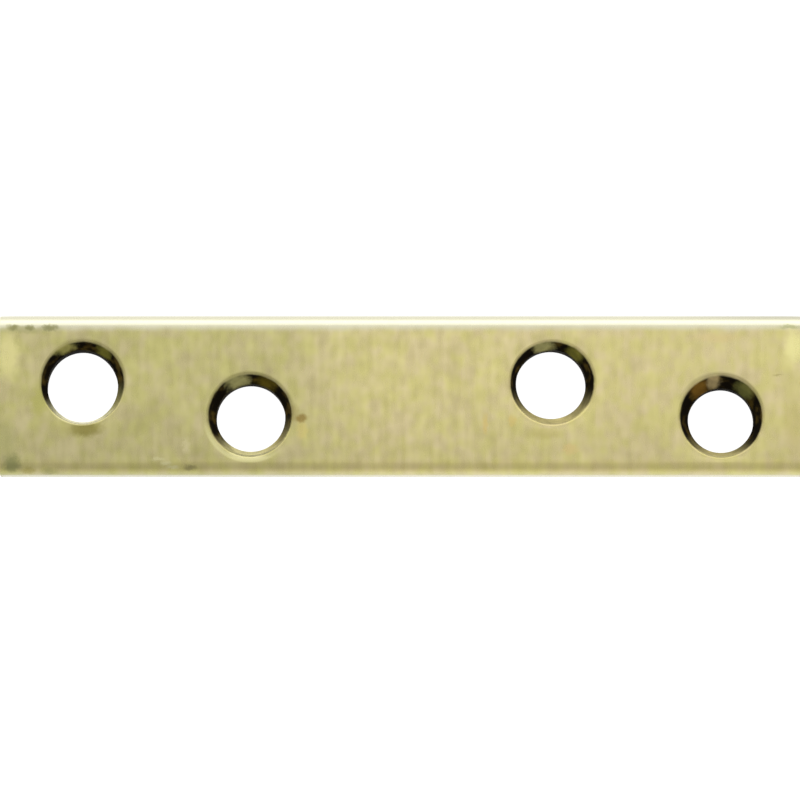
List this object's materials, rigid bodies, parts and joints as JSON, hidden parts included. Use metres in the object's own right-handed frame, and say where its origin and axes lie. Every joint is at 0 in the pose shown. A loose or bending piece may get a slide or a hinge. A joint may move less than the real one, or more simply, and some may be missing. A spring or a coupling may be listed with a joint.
{
  "type": "mending plate",
  "caption": "Flat brass-plated steel strip with staggered countersunk screw holes, screwed across a joint in wood to mend or strengthen it.",
  "frame": {"origin": "centre of the flat back, the face that lies on the work", "axes": "+X along the plate's length, +Y across its width, +Z out of the countersunk face"},
  "size_m": [0.0762, 0.0154, 0.0023],
  "materials": {
    "brass_plate": "satin"
  },
  "bodies": {
    "root": {"mending_plate": "brass_plate"}
  },
  "joints": []
}
